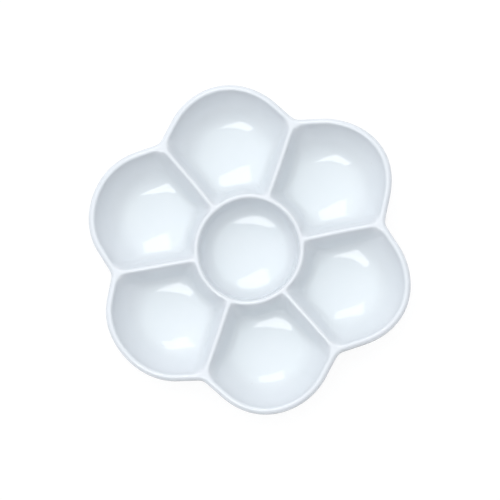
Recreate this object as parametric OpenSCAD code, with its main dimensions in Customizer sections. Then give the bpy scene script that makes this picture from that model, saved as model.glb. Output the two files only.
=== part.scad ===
// Flower-shaped porcelain mixing palette: six petal wells around one round centre well,
// parted by thin rounded ridges of one height, on a round foot ring.
// Origin: centre of the foot ring, on the table. +Z is up and the first petal lies on +X.

/* [Overall] */
// Width from one petal tip to the opposite tip, over the glaze
palette_d = 133; // [120:1:160]
// Height from the table to the crests, over the glaze
palette_h = 19; // [17:0.5:23]
// Radius of a petal's outer arc, as a share of the overall width
petal_share = 0.2015; // [0.195:0.0005:0.205]

/* [Walls] */
// Thickness of the outer rim at its crest
rim_w = 3.6; // [3:0.1:4.4]
// Thickness of the ridges between the wells at their crests
ridge_w = 2.6; // [2.2:0.1:3.6]
// Thickness of the floor under the wells
floor_t = 3.6; // [3:0.1:4.5]
// Radius of the rounded foot of every well wall
cove_r = 8.5; // [7:0.5:9]
// Lean of the well walls, in degrees from upright
draft = 7; // [4:0.5:10]
// Radius of the outer wall as it curves in towards the base
flank_r = 18; // [17:0.5:24]

/* [Wells] */
// Radius of the ring crest around the centre well
ring_r = 21.3; // [20.5:0.1:22.5]
// Radius of the concave fillet in each notch between two petals
notch_r = 10; // [8:0.5:12]

/* [Foot] */
// Outer diameter of the foot ring
foot_d = 74; // [66:1:78]
// Width of the foot ring
foot_w = 3.2; // [2.5:0.1:4]
// Height of the foot ring under the base
foot_h = 2.2; // [1.6:0.1:3]

/* [Glaze] */
// Thickness of the glaze coat
glaze_t = 0.3; // [0.2:0.05:0.4]
// Height of the bare strip on the foot ring, where the glaze is wiped off
bare_h = 0.9; // [0.6:0.1:1.2]

/* [Hidden] */
$fn = 120;
petals = 6;
step = 360 / petals;
petal_r = palette_d * petal_share;
petal_x = palette_d / 2 - petal_r;
floor_z = foot_h + floor_t;
// The seam keeps surfaces that meet smoothly crossing at a few degrees, so that each edge is a clear one
seam = 0.02;
// Every cove would reach this far under the floor, and its surface stops short of its lowest line
sink = 0.15;
cove_stop = 1.2;
// The round of a crest stops this far from its centre line, above the land
crest_stop = 0.2;
// The crests carry a narrow flat land this far below the top of their round
land = 0.05;
// Cutters reach this far past what they cut
over = 2;
notch_x = notch_distance();
porcelain = "#f0f2f3";
glaze = "#e6eff6";

// Distance of a notch fillet's centre from the origin, where the fillet just touches both petals
function notch_distance() =
    let (along = petal_x * cos(step / 2), aside = petal_x * sin(step / 2), reach = petal_r + notch_r - seam)
    along + sqrt(reach * reach - aside * aside);

// Height of the centre of a crest's round
function crest_z(w) = palette_h - w / 2 + land;

// Distance from a crest's centre line to the centre of the cove at the foot of its wall
function cove_x(w) =
    (cove_r + w / 2 - 2 * seam + sin(draft) * (crest_z(w) - floor_z - cove_r + sink)) / cos(draft);

// The hollow beside a wall: everything at -X of a crest of width w whose centre line is x = 0.
// Inset enlarges the hollow by the glaze, and bottom is how far down it goes.
module hollow_side(w, inset, bottom) {
    reach = palette_d;
    top = palette_h + over;
    cove = [-cove_x(w), floor_z + cove_r - sink];
    wall = cove_r + inset - seam;
    low = -sin(draft) * wall;
    high = crest_z(w) - cove[1] + sin(draft) * (w / 2 - inset);
    difference() {
        union() {
            translate(cove) circle(cove_r + inset);
            translate([-reach, bottom]) square([reach + cove[0] + cove_stop, top - bottom]);
            translate(cove) polygon([
                [-reach, low],
                [(wall + low * sin(draft)) / cos(draft), low],
                [(wall + high * sin(draft)) / cos(draft), high],
                [-crest_stop - cove[0], high],
                [-crest_stop - cove[0], top - cove[1]],
                [-reach, top - cove[1]]
            ]);
        }
        translate([0, crest_z(w)]) circle(w / 2 - inset);
    }
}

// The outline of the flower in plan: round petals, with a concave fillet in each notch
module flower_plan() {
    circle(petal_x + 1, $fn = petals);
    for (i = [0:petals - 1]) rotate(i * step) {
        translate([petal_x, 0]) circle(petal_r);
        difference() {
            polygon([
                [petal_x, 0],
                [notch_x * cos(step / 2), notch_x * sin(step / 2)],
                [petal_x * cos(step), petal_x * sin(step)]
            ]);
            rotate(step / 2) translate([notch_x, 0]) circle(notch_r);
        }
    }
}

// The flower form before the wells are cut: its flank curves in under the petal tips
module flower_block()
    intersection() {
        translate([0, 0, foot_h]) linear_extrude(palette_h - foot_h) flower_plan();
        rotate_extrude()
            intersection() {
                union() {
                    square([palette_d / 2 - flank_r, 2 * palette_h]);
                    translate([palette_d / 2 - flank_r, palette_h - rim_w]) circle(flank_r + seam);
                }
                square([palette_d, palette_h + over]);
            }
    }

// The plan of a petal well beside its two ridges and outside the ring
module well_plan(inset) {
    clear = ridge_w / 2 - inset;
    start = clear / sin(step / 2);
    side = (palette_d - start) * tan(step / 2);
    difference() {
        polygon([[start, 0], [palette_d, side], [palette_d, -side]]);
        circle(ring_r + clear);
    }
}

// The hollow of one petal well: a bowl inside the rim, cut off by the ridges and the ring
module petal_well(inset) {
    bottom = floor_z - inset;
    intersection() {
        translate([petal_x, 0, 0]) rotate_extrude()
            intersection() {
                translate([petal_r - rim_w / 2, 0]) hollow_side(rim_w, inset, bottom);
                translate([0, bottom]) square([petal_r, palette_h]);
            }
        linear_extrude(2 * palette_h) well_plan(inset);
        rotate_extrude()
            intersection() {
                translate([ring_r, 0]) mirror([1, 0]) hollow_side(ridge_w, inset, 0);
                square([palette_d / 2, palette_h + 2 * over]);
            }
    }
}

// The section of the round centre well, from its axis out to the ring
module centre_side(inset)
    intersection() {
        translate([ring_r, 0]) hollow_side(ridge_w, inset, floor_z - inset);
        translate([0, floor_z - inset]) square([ring_r, palette_h]);
    }

// A flat ring between two radii and two heights
module ring_band(inner, outer, low, high)
    rotate_extrude() translate([inner, low]) square([outer - inner, high - low]);

// The fired clay: the flower form with its wells cut out, on a bare foot ring
module porcelain_body() color(porcelain) {
    difference() {
        flower_block();
        for (i = [0:petals - 1]) rotate(i * step) petal_well(glaze_t);
        rotate_extrude() centre_side(glaze_t);
    }
    ring_band(foot_d / 2 - foot_w, foot_d / 2, 0, foot_h + floor_t / 2);
}

// The glaze coat in each of the petal wells
module petal_well_glaze() color(glaze)
    for (i = [0:petals - 1]) rotate(i * step)
        intersection() {
            difference() {
                petal_well(glaze_t);
                petal_well(0);
            }
            cylinder(r = palette_d, h = palette_h);
        }

// The glaze coat in the round centre well
module centre_well_glaze() color(glaze)
    rotate_extrude()
        intersection() {
            difference() {
                centre_side(glaze_t);
                centre_side(0);
            }
            square([ring_r, palette_h]);
        }

// The glaze panel on the base inside the foot ring, with its lip down the ring
module base_glaze() color(glaze) {
    inner = foot_d / 2 - foot_w;
    ring_band(0, inner, foot_h - glaze_t, foot_h);
    ring_band(inner - glaze_t, inner, bare_h, foot_h);
}

porcelain_body();
petal_well_glaze();
centre_well_glaze();
base_glaze();
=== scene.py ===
import math
import bpy
import numpy as np
from mathutils import Matrix, Vector


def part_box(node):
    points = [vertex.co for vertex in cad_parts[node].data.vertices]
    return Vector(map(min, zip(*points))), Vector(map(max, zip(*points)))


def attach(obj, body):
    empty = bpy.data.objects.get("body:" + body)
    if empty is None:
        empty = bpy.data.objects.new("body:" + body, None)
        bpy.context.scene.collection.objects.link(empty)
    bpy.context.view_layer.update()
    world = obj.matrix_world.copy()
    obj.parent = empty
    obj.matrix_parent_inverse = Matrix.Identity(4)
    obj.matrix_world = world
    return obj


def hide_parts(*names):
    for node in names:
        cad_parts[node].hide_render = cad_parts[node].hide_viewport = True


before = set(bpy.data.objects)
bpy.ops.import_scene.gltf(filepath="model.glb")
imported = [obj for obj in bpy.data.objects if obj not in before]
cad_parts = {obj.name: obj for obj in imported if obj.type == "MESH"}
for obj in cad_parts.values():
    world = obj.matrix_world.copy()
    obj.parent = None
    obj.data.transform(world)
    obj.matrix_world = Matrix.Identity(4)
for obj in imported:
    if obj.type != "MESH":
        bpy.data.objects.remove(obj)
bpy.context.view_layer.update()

# A flower-shaped porcelain mixing palette: six petal wells round one centre well, glazed all over
# but for the bottom of its foot ring. The first petal lies on +X, and lengths are in metres.
MM = 0.001
BODY_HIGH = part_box("porcelain_body")[1]
WELL_LOW, WELL_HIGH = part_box("centre_well_glaze")
BASE_LOW, BASE_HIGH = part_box("base_glaze")

# Plan of the flower, worked out from the width of the body across its tips and across its flats
PETALS = 6
STEP = 2 * math.pi / PETALS
HALF = STEP / 2
TIP_R = BODY_HIGH.x
PETAL_X = (BODY_HIGH.x - BODY_HIGH.y) / (1 - math.cos(HALF))
PETAL_R = TIP_R - PETAL_X
RING_R = WELL_HIGH.x
# Each petal is round up to this angle from its axis, then straight into the fillet of the notch
PETAL_ARC = math.radians(52)
NOTCH_R = 5.0 * MM

# Heights
TOP = BODY_HIGH.z
GLAZE = 0.3 * MM
FLOOR = WELL_LOW.z + GLAZE
BASE = BASE_HIGH.z
BARE = BASE_LOW.z

# Crests and well walls: round of the crest, lean of the wall from the level, fillet at its foot
CREST_R = 1.08 * MM
RIM_OUT_R = 1.6 * MM
RIM_LEAN = math.radians(70.5)
RIM_FILLET = 13.5 * MM
RIDGE_LEAN = math.radians(71)
RIDGE_FILLET = 3.0 * MM
CENTRE_LEAN = math.radians(80)
CENTRE_FILLET = 5.0 * MM
DISH_R = 85 * MM
# Where two walls of a well meet, the corner is rounded by this much at the top, and more further down
RIDGE_CORNER = 6.0 * MM
RIM_CORNER = 4.5 * MM
RING_CORNER = 2.2 * MM
CORNER_GROWTH = 0.8
# Within about this distance of a wall, that wall alone sets the fillet and the lean
WALL_REACH = 2.0 * MM

# Outer wall, base and foot ring
FLANK_R = 18 * MM
FLANK_TOP = TOP - 3.6 * MM
FLANK_TURN = math.radians(37)
FOOT_IN = BASE_HIGH.x
FOOT_OUT = FOOT_IN + 3.2 * MM
FOOT_FILLET = 1.0 * MM
FOOT_EDGE = 0.7 * MM
BASE_DOME = 0.5 * MM

# Glaze: the height over which it thins out to its lip on the foot ring, the thinnest it gets, and how
# much of it gathers on the outer wall and base, as a share of that on the well floors
LIP = 0.25 * MM
GLAZE_LEAST = 0.004 * MM
FLANK_POOL = 0.2

# Hand-made unevenness. The notches are deeper on one side of the flower than on the other
NOTCH_PULL = 0.75 * MM
NOTCH_WAY = math.radians(35)
# Slow waves in the outline: how many round the flower, direction of the first crest, height
OUTLINE_WAVES = ((3, 38, 0.25 * MM), (5, 59, 0.40 * MM), (6, 52, 0.15 * MM))
# Drift of the walls in plan, along x and along y: height of each wave, its radians per metre of x and y,
# and where it starts
DRIFT_X = ((0.16 * MM, 0, 78, 0.6), (0.10 * MM, -90, 170, 2.1))
DRIFT_Y = ((0.16 * MM, 74, 0, 1.9), (0.10 * MM, 160, 110, 0.4))
# Rise and fall of the crests, and how far they lie lower on the whole
CREST_WAVE = 0.10 * MM
CREST_WAVE_X = 60
CREST_WAVE_Y = 52
CREST_START = 1.0
CREST_SAG = 0.06 * MM
# The ring sits a little off the middle of the flower, and is a little oval
RING_SHIFT = (-0.15 * MM, -1.2 * MM)
RING_STRETCH = 0.7 * MM
RING_REACH = 36 * MM
# Faint throwing rings low in the centre well
THROW_R = 12.5 * MM
THROW_WIDTH = 3.5 * MM
THROW_PITCH = 1.9 * MM
THROW_DEPTH = 0.012 * MM

# How finely the surface is cut
CREST_STEPS = 6
WALL_STEPS = 4
FILLET_STEPS = 9
FLOOR_STEPS = 9
OPEN_STEPS = 16
FLANK_STEPS = 9
UNDER_STEPS = 7
BASE_STEPS = 8
FOOT_STEPS = 5
RADIUS_STEPS = 500
# A small step for slopes and comparisons, and one that only keeps a division clear of zero
TICK = 0.01 * MM
TINY = 1e-9


def fold(x, y):
    """Radius and angle to the nearest petal axis."""
    radius = np.hypot(x, y)
    turn = np.mod(np.arctan2(y, x) + HALF, STEP) - HALF
    return radius, np.abs(turn)


def outline_depth(x, y):
    """How far a point lies inside the outline: round petals, straight flanks and notch fillets."""
    radius, turn = fold(x, y)
    px = radius * np.cos(turn) - PETAL_X
    py = radius * np.sin(turn)
    normal = np.array([math.cos(PETAL_ARC), math.sin(PETAL_ARC)])
    notch = (PETAL_R + NOTCH_R + PETAL_X * normal[0]) / math.cos(PETAL_ARC - HALF)
    fx = notch * math.cos(HALF) - PETAL_X
    fy = notch * math.sin(HALF)
    along = py * normal[0] - px * normal[1]
    along_fillet = fy * normal[0] - fx * normal[1]
    arc = PETAL_R - np.hypot(px, py)
    flank = PETAL_R - (px * normal[0] + py * normal[1])
    fillet = np.hypot(px - fx, py - fy) - NOTCH_R
    straight = np.where(along < along_fillet, flank, fillet)
    return np.where(np.arctan2(py, px) < PETAL_ARC, arc, straight)


def soft_min(a, b, reach):
    """The smaller of two distances, with a round of the given reach where they are alike."""
    near = np.maximum(reach - np.abs(a - b), 0) / reach
    return np.minimum(a, b) - near * near * reach / 4


def nearness(distance):
    """How strongly a wall at this distance sets the shape of the bowl."""
    return 1 / (np.maximum(distance, 0) + WALL_REACH) ** 3


def petal_walls(x, y):
    """Distance into a petal well from the crest line of its walls, and their fillet and lean there."""
    radius, turn = fold(x, y)
    near = radius * np.sin(HALF - turn)
    far = radius * np.sin(HALF + turn)
    ridge = soft_min(near, far, RIDGE_CORNER)
    rim = outline_depth(x, y) - RIM_OUT_R
    ring = radius - RING_R
    deep = np.maximum(np.minimum(ridge, rim) - CREST_R, 0)
    inside = soft_min(ridge, rim, RIM_CORNER + CORNER_GROWTH * deep)
    deep = np.maximum(np.minimum(inside, ring) - CREST_R, 0)
    inside = soft_min(inside, ring, RING_CORNER + CORNER_GROWTH * deep)
    rim_share = nearness(rim) / (nearness(ridge) + nearness(rim) + nearness(ring))
    fillet = RIDGE_FILLET + (RIM_FILLET - RIDGE_FILLET) * rim_share
    lean = RIDGE_LEAN + (RIM_LEAN - RIDGE_LEAN) * rim_share
    return inside, fillet, lean


def wall_start(fillet, lean, depth):
    """Distance from the crest line to the foot of the straight wall, where its fillet starts."""
    straight = np.maximum(depth - (CREST_R + fillet) * (1 - np.cos(lean)), 0)
    return CREST_R * np.sin(lean) + straight / np.tan(lean)


def wall_drop(inside, fillet, lean, depth):
    """How far the surface lies under the crest: round crest, leaning wall and fillet to the floor."""
    crest_end = CREST_R * np.sin(lean)
    crest = np.clip(inside, 0, crest_end)
    drop = CREST_R - np.sqrt(CREST_R ** 2 - crest ** 2)
    start = wall_start(fillet, lean, depth)
    drop = drop + (np.clip(inside, crest_end, start) - crest_end) * np.tan(lean)
    foot = start + fillet * np.sin(lean)
    short = np.clip(foot - inside, 0, fillet * np.sin(lean))
    curve = depth - fillet + np.sqrt(fillet ** 2 - short ** 2)
    return np.where(inside > start, curve, drop)


def well_shape(x, y):
    """For points of the top: distance in from the crest line, wall fillet and lean, well depth."""
    radius, turn = fold(x, y)
    inside, fillet, lean = petal_walls(x, y)
    centre = radius < RING_R
    inside = np.where(centre, RING_R - radius, inside)
    fillet = np.where(centre, CENTRE_FILLET, fillet)
    lean = np.where(centre, CENTRE_LEAN, lean)
    reach = np.hypot(radius * np.cos(turn) - PETAL_X, radius * np.sin(turn))
    reach = np.where(centre, radius, reach)
    dish = np.minimum(reach, PETAL_R) ** 2 / (2 * DISH_R)
    return inside, fillet, lean, TOP - FLOOR - dish


def top_height(x, y):
    """Height of the glazed top over the plan, inside the outline."""
    drop = wall_drop(*well_shape(x, y))
    edge = np.clip(RIM_OUT_R - outline_depth(x, y), 0, RIM_OUT_R)
    return TOP - drop - (RIM_OUT_R - np.sqrt(np.maximum(RIM_OUT_R ** 2 - edge ** 2, 0)))


def glaze_pool(x, y):
    """How much glaze has run together: none on the crests, more down the walls, most on the floors."""
    inside, fillet, lean, depth = well_shape(x, y)
    foot = wall_start(fillet, lean, depth) + fillet * np.sin(lean)
    return np.clip((inside - CREST_R) / (foot - CREST_R), 0, 1)


def quarter(steps):
    """Evenly turned steps of a quarter circle, without its start."""
    return np.arange(1, steps + 1) * (math.pi / 2 / steps)


def wall_spacing(fillet, lean):
    """Distances from a crest line at which the mesh lines beside it run, down to the floor."""
    crest = CREST_R * np.sin(lean * np.arange(1, CREST_STEPS + 1) / CREST_STEPS)
    start = wall_start(fillet, lean, TOP - FLOOR)
    wall = crest[-1] + (start - crest[-1]) * np.arange(1, WALL_STEPS + 1) / WALL_STEPS
    bend = lean * np.arange(FILLET_STEPS - 1, -1, -1) / FILLET_STEPS
    foot = start + fillet * (math.sin(lean) - np.sin(bend))
    return np.concatenate([crest, wall, foot])


def ridge_spacing():
    """Distances from a ridge's centre line at which the mesh lines beside it run."""
    return np.concatenate([[0], wall_spacing(RIDGE_FILLET, RIDGE_LEAN)])


def half_sector_turns(radius):
    """Angles from a ridge to the next petal axis, one for each mesh line, at a given radius."""
    beside = ridge_spacing()
    axis = radius * math.sin(HALF)
    share = np.arange(1, OPEN_STEPS + 1) / OPEN_STEPS
    last = beside[-1]
    lines = np.concatenate([beside, last + (axis - last) * share])
    return np.arcsin(np.clip(lines / radius, 0, math.sin(HALF)))


def column_turns(radius):
    """Polar angles of every mesh line round the flower at a given radius."""
    half = half_sector_turns(max(radius, RING_R))
    sector = np.concatenate([half, STEP - half[-2:0:-1]])
    return np.concatenate([sector + HALF + i * STEP for i in range(PETALS)])


def column_paths():
    """Radii from the ring outwards and the plan of every mesh line at them."""
    radii = np.linspace(RING_R, TIP_R, RADIUS_STEPS)
    turns = np.array([column_turns(r) for r in radii])
    x = radii[:, None] * np.cos(turns)
    y = radii[:, None] * np.sin(turns)
    return radii, turns, outline_depth(x, y)


def row_at_depth(paths, depth):
    """Radius and angle at which each mesh line crosses the curve a given distance inside the outline."""
    radii, turns, depths = paths
    radius = np.empty(turns.shape[1])
    turn = np.empty(turns.shape[1])
    for j in range(turns.shape[1]):
        radius[j] = np.interp(-depth, -depths[:, j], radii)
        turn[j] = np.interp(radius[j], radii, turns[:, j])
    return radius, turn


def ring_rows():
    """Radii of the rows in the centre well and on both sides of the ring."""
    inner = RING_R - wall_spacing(CENTRE_FILLET, CENTRE_LEAN)[::-1]
    floor = inner[0] * np.arange(1, FLOOR_STEPS + 1) / (FLOOR_STEPS + 1)
    outer = RING_R + wall_spacing(RIDGE_FILLET, RIDGE_LEAN)
    return np.concatenate([floor, inner, [RING_R], outer])


def rim_depths():
    """Distances inside the outline of the rows on the rim's wall and crest, ending at the outline."""
    wall = RIM_OUT_R + wall_spacing(RIM_FILLET, RIM_LEAN)[::-1]
    edge = RIM_OUT_R * (1 - np.sin(quarter(CREST_STEPS + 2)))
    return np.concatenate([wall, [RIM_OUT_R], edge])


def ring_points(radius, turn, height):
    """Points at a radius, angle and height, each a number or one value for each point."""
    x = radius * np.cos(turn)
    y = radius * np.sin(turn)
    return np.stack([x, y, height + 0 * x], 1)


def top_rows():
    """The rows of the glazed top, from the middle of the centre well out to the outline."""
    paths = column_paths()
    plan = []
    for radius in ring_rows():
        turns = column_turns(radius)
        plan.append((np.full(turns.shape, radius), turns))
    depths = rim_depths()
    inner_radius = plan[-1][0]
    outer_radius = row_at_depth(paths, depths[0])[0]
    for i in range(1, FLOOR_STEPS):
        share = i / FLOOR_STEPS
        radius = inner_radius * (1 - share) + outer_radius * share
        turn = np.array([np.interp(radius[j], paths[0], paths[1][:, j]) for j in range(len(radius))])
        plan.append((radius, turn))
    for depth in depths:
        plan.append(row_at_depth(paths, max(depth, 0)))
    rows = []
    for radius, turn in plan:
        rows.append(ring_points(radius, turn, top_height(radius * np.cos(turn), radius * np.sin(turn))))
    return rows


def outline_normals(x, y):
    """Unit normals of the outline in plan, pointing outwards."""
    nx = outline_depth(x - TICK, y) - outline_depth(x + TICK, y)
    ny = outline_depth(x, y - TICK) - outline_depth(x, y + TICK)
    size = np.hypot(nx, ny)
    return nx / size, ny / size


def flank_profile():
    """Inset and height of the rows down the outer wall, which curves in and turns under the base."""
    turn = FLANK_TURN * np.arange(0, FLANK_STEPS + 1) / FLANK_STEPS
    inset = list(FLANK_R * (1 - np.cos(turn)))
    height = list(FLANK_TOP - FLANK_R * np.sin(turn))
    under_r = (height[-1] - BASE) / (1 - math.sin(FLANK_TURN))
    bend = FLANK_TURN + (math.pi / 2 - FLANK_TURN) * np.arange(1, UNDER_STEPS + 1) / UNDER_STEPS
    start = inset[-1]
    inset += list(start + under_r * (math.cos(FLANK_TURN) - np.cos(bend)))
    height += list(BASE + under_r * (1 - np.sin(bend)))
    return inset, height


def foot_side():
    """Distance out from one side of the foot ring and height, from the base down to its flat bottom."""
    turns = [(1 - math.sin(angle), 1 - math.cos(angle)) for angle in quarter(FOOT_STEPS)]
    points = [(FOOT_FILLET * across, BASE - FOOT_FILLET * down) for across, down in turns]
    points += [(0, BARE + LIP * share) for share in LIP_ROWS]
    for a in np.concatenate([[0], quarter(FOOT_STEPS)]):
        points.append((-FOOT_EDGE * (1 - math.cos(a)), FOOT_EDGE * (1 - math.sin(a)) - GLAZE))
    return points


def foot_profile():
    """Radius and height of the rows over the foot ring, as if the glaze went all the way round it."""
    outer = FOOT_OUT + GLAZE
    inner = FOOT_IN - GLAZE
    down = [(outer + out, height) for out, height in foot_side()]
    up = [(inner - out, height) for out, height in foot_side()[::-1]]
    return down + [((outer + inner) / 2, -GLAZE)] + up + [(inner - FOOT_FILLET, BASE)]


# Rows at the glaze's lip on the foot ring, as shares of the height over which it thins out
LIP_ROWS = (1, 0.48, 0.16, 0, -0.4)


def base_height(radius):
    """Height of the recessed base inside the foot ring, which domes up a little to its middle."""
    return BASE + BASE_DOME * (1 - (radius / FOOT_IN) ** 2)


def under_rows(edge):
    """The rows from the outline down the outer wall, under the base and over the foot ring."""
    x, y = edge[:, 0], edge[:, 1]
    nx, ny = outline_normals(x, y)
    turn = np.arctan2(y, x)
    rows = []
    for inset, height in zip(*flank_profile()):
        rows.append(np.stack([x - inset * nx, y - inset * ny, np.full(x.shape, height)], 1))
    feet = foot_profile()
    start = FOOT_OUT + GLAZE + FOOT_FILLET
    last = rows[-1]
    circle = ring_points(start, turn, BASE)
    for i in range(1, BASE_STEPS + 1):
        rows.append(last + (circle - last) * (i / BASE_STEPS))
    for radius, height in feet[1:]:
        rows.append(ring_points(radius, turn, height))
    inner = feet[-1][0]
    for i in range(1, BASE_STEPS + 1):
        radius = inner * (1 - i / (BASE_STEPS + 1))
        rows.append(ring_points(radius, turn, base_height(radius)))
    return rows


def drift(waves, x, y):
    """The sum of slow waves over the plan."""
    total = 0
    for height, along_x, along_y, start in waves:
        total = total + height * np.sin(along_x * x + along_y * y + start)
    return total


def hand_made(points):
    """The small unevenness of a pressed and fired piece. The foot stays flat on the table."""
    x, y, z = points[:, 0], points[:, 1], points[:, 2]
    radius = np.hypot(x, y) + TINY
    angle = np.arctan2(y, x)
    lift = np.clip(z / TOP, 0, 1)
    outer = (radius / TIP_R) ** 3
    notch = (1 - np.cos(PETALS * angle)) / 2 * outer
    pull = -NOTCH_PULL * np.cos(angle - NOTCH_WAY) * notch
    for count, way, height in OUTLINE_WAVES:
        pull = pull + height * np.cos(count * (angle - math.radians(way))) * outer
    near = lift * np.exp(-(radius / RING_REACH) ** 2)
    thrown = np.exp(-((radius - THROW_R) / THROW_WIDTH) ** 2) * (z > BASE + MM)
    ring_y = RING_SHIFT[1] + RING_STRETCH * y / RING_R
    rise = CREST_WAVE * np.sin(CREST_WAVE_X * x + CREST_START) * np.cos(CREST_WAVE_Y * y)
    out = points.copy()
    out[:, 0] += lift * drift(DRIFT_X, x, y) + pull * x / radius + near * RING_SHIFT[0]
    out[:, 1] += lift * drift(DRIFT_Y, x, y) + pull * y / radius + near * ring_y
    out[:, 2] += lift * (rise - CREST_SAG)
    out[:, 2] += THROW_DEPTH * thrown * np.sin(2 * math.pi * radius / THROW_PITCH)
    return out


def tube(name, first, rings, last):
    """A closed mesh: one end point, the rings in turn, the other end point."""
    columns = len(rings[0])
    points = np.concatenate([[first], np.concatenate(rings), [last]])
    faces = []
    after = [(j + 1) % columns for j in range(columns)]
    for j in range(columns):
        faces.append((0, 1 + j, 1 + after[j]))
    for i in range(len(rings) - 1):
        base = 1 + i * columns
        for j in range(columns):
            faces.append((base + j, base + columns + j, base + columns + after[j], base + after[j]))
    end = 1 + (len(rings) - 1) * columns
    for j in range(columns):
        faces.append((end + j, len(points) - 1, end + after[j]))
    mesh = bpy.data.meshes.new(name)
    mesh.from_pydata(points.tolist(), [], faces)
    mesh.polygons.foreach_set("use_smooth", [True] * len(faces))
    mesh.update()
    return mesh


def vertex_normals(mesh):
    """Unit normals of a mesh's points."""
    flat = np.empty(len(mesh.vertices) * 3, np.float32)
    mesh.vertex_normals.foreach_get("vector", flat)
    return flat.reshape(-1, 3).astype(float)


def outer_form():
    """The whole form as if glaze covered all of it: its points, their normals and the pooled glaze."""
    top = top_rows()
    rows = top + under_rows(top[-1])
    middle = np.zeros(1)
    first = np.array([0, 0, top_height(middle, middle)[0]])
    last = np.array([0, 0, base_height(0)])
    ideal = np.concatenate([[first], np.concatenate(rows), [last]])
    columns = len(rows[0])
    pool = np.full(len(ideal), FLANK_POOL)
    over = 1 + len(top) * columns
    pool[:over] = glaze_pool(ideal[:over, 0], ideal[:over, 1])
    points = hand_made(ideal)
    rings = points[1:-1].reshape(len(rows), columns, 3)
    mesh = tube("outer_form", points[0], list(rings), points[-1])
    normals = vertex_normals(mesh)
    bpy.data.meshes.remove(mesh)
    return points, normals, pool, len(rows), columns


def add_piece(name, mesh, slot, *nodes):
    """Puts a mesh in the scene, riding on the body, standing for the CAD nodes named."""
    piece = bpy.data.objects.new(name, mesh)
    bpy.context.scene.collection.objects.link(piece)
    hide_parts(*nodes)
    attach(piece, "root")
    return piece


def attribute(mesh, name, values):
    """Stores one number per point, which a material can read."""
    layer = mesh.attributes.new(name, "FLOAT", "POINT")
    layer.data.foreach_set("value", values.astype(np.float32))


def split(points, rows, columns):
    """First pole, rings and last pole of a run of points."""
    return points[0], list(points[1:-1].reshape(rows, columns, 3)), points[-1]


def edge_taper(heights):
    """Share of the full glaze thickness for each row, from nothing at the lip to full away from it."""
    share = np.clip((heights - BARE) / LIP, 0, 1)
    return np.sqrt(1 - (1 - share) ** 2)


def find_lips(heights):
    """The rows at which the glaze ends on the outside and on the inside of the foot ring."""
    under = int(np.argmin(heights))
    outer = max(i for i in range(under) if heights[i] > BARE - TICK)
    inner = min(i for i in range(under, len(heights)) if heights[i] > BARE - TICK)
    return outer, inner


def make_coat(over, near, top, bottom, lip, pool):
    """The coat from the middle of the centre well to its lip on the foot ring, closed on its clay side."""
    coat = tube("glaze_coat", top, over[:lip + 1] + near[:lip][::-1], bottom)
    seen = 1 + (lip + 1) * len(over[0])
    coat_pool = np.zeros(len(coat.vertices))
    coat_pool[:seen] = pool[:seen]
    attribute(coat, "pool", coat_pool)
    return coat


def make_panel(over, near, top, bottom, lip):
    """The panel from its lip on the foot ring to the middle of the base, closed on its clay side."""
    panel = tube("base_glaze_panel", top, near[lip + 1:][::-1] + over[lip:], bottom)
    attribute(panel, "pool", np.full(len(panel.vertices), FLANK_POOL))
    return panel


def build_palette():
    """Makes the clay body, the glaze coat over it and the glaze panel inside the foot ring."""
    points, normals, pool, rows, columns = outer_form()
    first, rings, last = split(points - GLAZE * normals, rows, columns)
    body = tube("porcelain", first, rings, last)

    heights = points[1:-1].reshape(rows, columns, 3)[:, 0, 2]
    outward = normals[1:-1].reshape(rows, columns, 3)
    thickness = GLAZE_LEAST + (GLAZE - GLAZE_LEAST) * edge_taper(heights)
    over = [rings[i] + outward[i] * thickness[i] for i in range(rows)]
    near = [rings[i] + outward[i] * GLAZE_LEAST for i in range(rows)]
    outer_lip, inner_lip = find_lips(heights)
    coat = make_coat(over, near, points[0], first + normals[0] * GLAZE_LEAST, outer_lip, pool)
    panel = make_panel(over, near, last + normals[-1] * GLAZE_LEAST, points[-1], inner_lip)
    return body, coat, panel


# Colours, in linear light
GLAZE_THIN = (0.810, 0.844, 0.888)
GLAZE_POOLED = (0.748, 0.798, 0.829)
GLAZE_CLOUD = (0.975, 0.985, 0.990)
GLAZE_SPECK = (0.55, 0.52, 0.48)
CLAY_PALE = (0.80, 0.78, 0.74)
CLAY_WARM = (0.74, 0.70, 0.64)
CLAY_SAND = (0.50, 0.45, 0.38)
# Grain of each material, in features per metre
DRIFT_GRAIN = 30
CLOUD_GRAIN = 85
SHEEN_GRAIN = 120
SPECK_GRAIN = 140
RIPPLE_GRAIN = 220
CLAY_CLOUD_GRAIN = 160
CLAY_SHEEN_GRAIN = 900
CLAY_TOOTH_GRAIN = 1800
CLAY_SAND_GRAIN = 2600
# Noise stays mostly between these values. Its closer range gives patches with a plainer edge, and cloudy
# noise keeps more of its fine detail
NOISE = (0.3, 0.7)
PATCHES = (0.35, 0.65)
CLOUDY = 0.6
# Glaze: how far its pooled share wanders, how strong its clouds are, how rough and how rippled it is
POOL_DRIFT = (-0.12, 0.12)
CLOUD = (0.0, 0.5)
GLAZE_ROUGH = (0.01, 0.03)
GLAZE_IOR = 1.5
RIPPLE_STRENGTH = 0.25
RIPPLE_DEPTH = 0.02 * MM
# Specks: from their dark middle to their edge, in cells of the speck grain, and how dark they are
SPECK = (0.02, 0.035)
SPECK_SHARE = (0.35, 0.0)
# Clay: the noise above which a grain of sand shows, how much of it shows, roughness and tooth
SAND = (0.62, 0.72)
SAND_SHARE = (0.0, 0.35)
CLAY_ROUGH = (0.55, 0.8)
TOOTH_STRENGTH = 0.5
TOOTH_DEPTH = 0.03 * MM
WHOLE = (0.0, 1.0)


def node(tree, kind, **settings):
    """A shader node with its properties set."""
    made = tree.nodes.new(kind)
    for name, value in settings.items():
        setattr(made, name, value)
    return made


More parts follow.
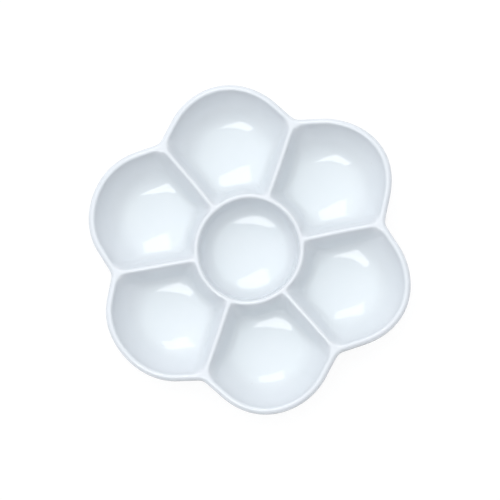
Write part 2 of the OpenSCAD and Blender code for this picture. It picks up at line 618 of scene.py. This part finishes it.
def arithmetic(tree, operation, first, second, clamp=False):
    """A sum, product or the like of two values. The first is a socket, the second a socket or a number."""
    made = node(tree, "ShaderNodeMath", operation=operation, use_clamp=clamp)
    tree.links.new(first, made.inputs[0])
    if isinstance(second, (int, float)):
        made.inputs[1].default_value = second
    else:
        tree.links.new(second, made.inputs[1])
    return made.outputs["Value"]


def grain(tree, scale, detail, roughness=0.5):
    """Noise in the object's own space, with so many features per metre and so much finer detail in them."""
    place = node(tree, "ShaderNodeTexCoord")
    noise = node(tree, "ShaderNodeTexNoise")
    noise.inputs["Scale"].default_value = scale
    noise.inputs["Detail"].default_value = detail
    noise.inputs["Roughness"].default_value = roughness
    tree.links.new(place.outputs["Object"], noise.inputs["Vector"])
    return noise.outputs["Fac"]


def remap(tree, value, before, after):
    """A value taken from one range to another."""
    made = node(tree, "ShaderNodeMapRange")
    made.inputs["From Min"].default_value = before[0]
    made.inputs["From Max"].default_value = before[1]
    made.inputs["To Min"].default_value = after[0]
    made.inputs["To Max"].default_value = after[1]
    tree.links.new(value, made.inputs["Value"])
    return made.outputs["Result"]


def blend_colour(tree, share, first, second, how="MIX"):
    """Two colours mixed by a share. Each is a colour or a socket."""
    made = node(tree, "ShaderNodeMix", data_type="RGBA", blend_type=how)
    for socket, colour in ((made.inputs["A"], first), (made.inputs["B"], second)):
        if isinstance(colour, tuple):
            socket.default_value = (*colour, 1)
        else:
            tree.links.new(colour, socket)
    tree.links.new(share, made.inputs["Factor"])
    return made.outputs["Result"]


def relief(tree, shader, height, strength, depth):
    """Fine unevenness of a surface, from a height and how deep it goes."""
    bump = node(tree, "ShaderNodeBump")
    bump.inputs["Strength"].default_value = strength
    bump.inputs["Distance"].default_value = depth
    tree.links.new(height, bump.inputs["Height"])
    tree.links.new(bump.outputs["Normal"], shader.inputs["Normal"])


def new_material(name):
    """A node material with its tree and its main shader."""
    material = bpy.data.materials.new(name)
    material.use_nodes = True
    tree = material.node_tree
    return material, tree, tree.nodes["Principled BSDF"]


def specks(tree, colour):
    """Tiny dark specks under the glaze, few and far between."""
    place = node(tree, "ShaderNodeTexCoord")
    cells = node(tree, "ShaderNodeTexVoronoi", distance="EUCLIDEAN")
    cells.inputs["Scale"].default_value = SPECK_GRAIN
    tree.links.new(place.outputs["Object"], cells.inputs["Vector"])
    dot = remap(tree, cells.outputs["Distance"], SPECK, SPECK_SHARE)
    return blend_colour(tree, dot, colour, GLAZE_SPECK)


def shade_glaze():
    """Clear glossy glaze over white porcelain: thin and pale on the crests, cooler where it gathers."""
    material, tree, shader = new_material("glaze")
    pooled = node(tree, "ShaderNodeAttribute", attribute_name="pool")
    wander = remap(tree, grain(tree, DRIFT_GRAIN, detail=3), NOISE, POOL_DRIFT)
    amount = arithmetic(tree, "ADD", pooled.outputs["Fac"], wander, clamp=True)
    colour = blend_colour(tree, amount, GLAZE_THIN, GLAZE_POOLED)
    cloud = remap(tree, grain(tree, CLOUD_GRAIN, detail=5, roughness=CLOUDY), PATCHES, CLOUD)
    colour = blend_colour(tree, cloud, colour, GLAZE_CLOUD, "MULTIPLY")
    tree.links.new(specks(tree, colour), shader.inputs["Base Color"])
    sheen = remap(tree, grain(tree, SHEEN_GRAIN, detail=2), NOISE, GLAZE_ROUGH)
    tree.links.new(sheen, shader.inputs["Roughness"])
    shader.inputs["IOR"].default_value = GLAZE_IOR
    relief(tree, shader, grain(tree, RIPPLE_GRAIN, detail=2), RIPPLE_STRENGTH, RIPPLE_DEPTH)
    return material


def shade_clay():
    """Bare fired porcelain: matt, warm white, a little cloudy and finely grained."""
    material, tree, shader = new_material("bare_porcelain")
    cloud = remap(tree, grain(tree, CLAY_CLOUD_GRAIN, detail=6, roughness=CLOUDY), NOISE, WHOLE)
    colour = blend_colour(tree, cloud, CLAY_PALE, CLAY_WARM)
    sand = remap(tree, grain(tree, CLAY_SAND_GRAIN, detail=2), SAND, SAND_SHARE)
    tree.links.new(blend_colour(tree, sand, colour, CLAY_SAND), shader.inputs["Base Color"])
    sheen = remap(tree, grain(tree, CLAY_SHEEN_GRAIN, detail=3), NOISE, CLAY_ROUGH)
    tree.links.new(sheen, shader.inputs["Roughness"])
    relief(tree, shader, grain(tree, CLAY_TOOTH_GRAIN, detail=4), TOOTH_STRENGTH, TOOTH_DEPTH)
    return material


# Table: its tone, how much of what the camera sees of it is even brightness instead of its own shading,
# how bright that is, and its matt surface
TABLE_SIZE = 2.5
TABLE_TONE = 0.92
TABLE_GLOW = 0.85
TABLE_BRIGHT = 1.05
TABLE_ROUGH = 0.9
TABLE_SHINE = 0.2


def shade_table():
    """A pale matt table, bright enough to the camera to leave only a faint shadow."""
    material, tree, paper = new_material("table_top")
    paper.inputs["Base Color"].default_value = (TABLE_TONE, TABLE_TONE, TABLE_TONE, 1)
    paper.inputs["Roughness"].default_value = TABLE_ROUGH
    paper.inputs["Specular IOR Level"].default_value = TABLE_SHINE
    glow = node(tree, "ShaderNodeEmission")
    glow.inputs["Strength"].default_value = TABLE_BRIGHT
    path = node(tree, "ShaderNodeLightPath")
    mix = node(tree, "ShaderNodeMixShader")
    share = arithmetic(tree, "MULTIPLY", path.outputs["Is Camera Ray"], TABLE_GLOW)
    tree.links.new(share, mix.inputs["Fac"])
    tree.links.new(paper.outputs["BSDF"], mix.inputs[1])
    tree.links.new(glow.outputs["Emission"], mix.inputs[2])
    tree.links.new(mix.outputs["Shader"], tree.nodes["Material Output"].inputs["Surface"])
    return material


def add_flat(name, corners, material):
    """A flat stage piece with the given corners."""
    mesh = bpy.data.meshes.new(name)
    mesh.from_pydata([tuple(corner) for corner in corners], [], [tuple(range(len(corners)))])
    mesh.materials.append(material)
    flat = bpy.data.objects.new(name, mesh)
    bpy.context.scene.collection.objects.link(flat)
    return flat


def add_table():
    """A plain pale table top."""
    signs = [(-1, -1), (1, -1), (1, 1), (-1, 1)]
    corners = [(TABLE_SIZE * x, TABLE_SIZE * y, 0) for x, y in signs]
    add_flat("table_top", corners, shade_table())


# View: turn of the palette in the picture, tilt and sideways lean from straight above, width of the view.
# RIGHT and UP are the picture's own directions on the table
VIEW_TURN = math.radians(19.5)
VIEW_TILT = math.radians(7)
VIEW_LEAN = math.radians(1)
VIEW_DISTANCE = 1.15
VIEW_FIELD = 0.2006
VIEW_HEIGHT = TOP * 0.6
VIEW_CLIP = 0.01
RIGHT = Vector((math.cos(VIEW_TURN), math.sin(VIEW_TURN), 0))
UP = Vector((-math.sin(VIEW_TURN), math.cos(VIEW_TURN), 0))
ABOVE = Vector((0, 0, 1))


def aim(camera, place, target, up):
    """Points a camera at a target with its own Y axis near the direction given as up."""
    back = (Vector(place) - Vector(target)).normalized()
    side = up.cross(back).normalized()
    rise = back.cross(side)
    turn = Matrix((side, rise, back)).transposed().to_4x4()
    camera.matrix_world = Matrix.Translation(place) @ turn


def add_camera():
    """A long lens over the palette, leaning a little towards the bottom of the picture."""
    data = bpy.data.cameras.new("camera")
    camera = bpy.data.objects.new("camera", data)
    bpy.context.scene.collection.objects.link(camera)
    target = Vector((0, 0, VIEW_HEIGHT))
    back = ABOVE * math.cos(VIEW_TILT) - UP * math.sin(VIEW_TILT) + RIGHT * math.sin(VIEW_LEAN)
    place = target + back.normalized() * VIEW_DISTANCE
    data.lens = data.sensor_width * VIEW_DISTANCE / VIEW_FIELD
    data.clip_start = VIEW_CLIP
    aim(camera, place, target, UP)
    bpy.context.scene.camera = camera


# Window panes overhead, one each side of the vertical. Corners are slopes towards picture right and up
PANE_HEIGHT = 1.6
LARGE_PANE = [(-0.18, 0.27), (-0.10, 0.28), (0.09, 0.38), (0.15, 0.85), (-0.42, 0.80), (-0.19, 0.34)]
SMALL_PANE = [(0.14, -0.15), (-0.20, -0.60), (-0.58, -0.40), (-0.21, -0.10), (-0.15, -0.115)]
LARGE_GLOW = 4.6
SMALL_GLOW = 6.0


def add_pane(name, corners, strength):
    """A bright pane over the palette that shows only as a reflection in the glaze."""
    material, tree, _ = new_material(name)
    glow = node(tree, "ShaderNodeEmission")
    glow.inputs["Strength"].default_value = strength
    tree.links.new(glow.outputs["Emission"], tree.nodes["Material Output"].inputs["Surface"])
    plan = [(RIGHT * right + UP * up + ABOVE) * PANE_HEIGHT for right, up in corners]
    pane = add_flat(name, plan, material)
    pane.visible_camera = False
    pane.visible_diffuse = False
    pane.visible_shadow = False


# Room light: its colour and level, how much brighter it is overhead, how closely that gathers and where,
# as slopes towards picture right and up, and how bright the camera sees the room
ROOM_COLOUR = (0.97, 0.985, 1.0)
ROOM_BASE = 0.24
ROOM_TOP = 1.94
ROOM_FOCUS = 2.6
ROOM_WAY = (-0.17, 0.26)
ROOM_SEEN = 0.95


def add_room():
    """A pale room that is brightest overhead and falls off to the sides, more so at the lower right."""
    world = bpy.data.worlds.new("room")
    world.use_nodes = True
    tree = world.node_tree
    sky = tree.nodes["Background"]
    sky.inputs["Color"].default_value = (*ROOM_COLOUR, 1)
    way = node(tree, "ShaderNodeTexCoord")
    slope = node(tree, "ShaderNodeVectorMath", operation="DOT_PRODUCT")
    slope.inputs[1].default_value = (RIGHT * ROOM_WAY[0] + UP * ROOM_WAY[1] + ABOVE).normalized()
    tree.links.new(way.outputs["Generated"], slope.inputs[0])
    ahead = arithmetic(tree, "MAXIMUM", slope.outputs["Value"], 0)
    lobe = arithmetic(tree, "POWER", ahead, ROOM_FOCUS)
    level = arithmetic(tree, "ADD", arithmetic(tree, "MULTIPLY", lobe, ROOM_TOP), ROOM_BASE)
    path = node(tree, "ShaderNodeLightPath")
    seen = node(tree, "ShaderNodeMix")
    seen.inputs["B"].default_value = ROOM_SEEN
    tree.links.new(path.outputs["Is Camera Ray"], seen.inputs["Factor"])
    tree.links.new(level, seen.inputs["A"])
    tree.links.new(seen.outputs["Result"], sky.inputs["Strength"])
    bpy.context.scene.world = world


def add_studio():
    """The pale room and the two window panes that the glaze mirrors."""
    add_room()
    add_pane("large_pane", LARGE_PANE, LARGE_GLOW)
    add_pane("small_pane", SMALL_PANE, SMALL_GLOW)


def plain_colours():
    """Plain colour handling, so that whites stay neutral."""
    settings = bpy.context.scene.view_settings
    settings.view_transform = "Standard"
    settings.look = "None"
    settings.exposure = 0
    settings.gamma = 1


body_mesh, coat_mesh, panel_mesh = build_palette()
glaze_material = shade_glaze()
body_mesh.materials.append(shade_clay())
coat_mesh.materials.append(glaze_material)
panel_mesh.materials.append(glaze_material)
add_piece("porcelain", body_mesh, "porcelain", "porcelain_body")
add_piece("glaze_coat", coat_mesh, "glaze", "petal_well_glaze", "centre_well_glaze")
add_piece("base_glaze_panel", panel_mesh, "glaze", "base_glaze")
add_table()
add_camera()
add_studio()
plain_colours()
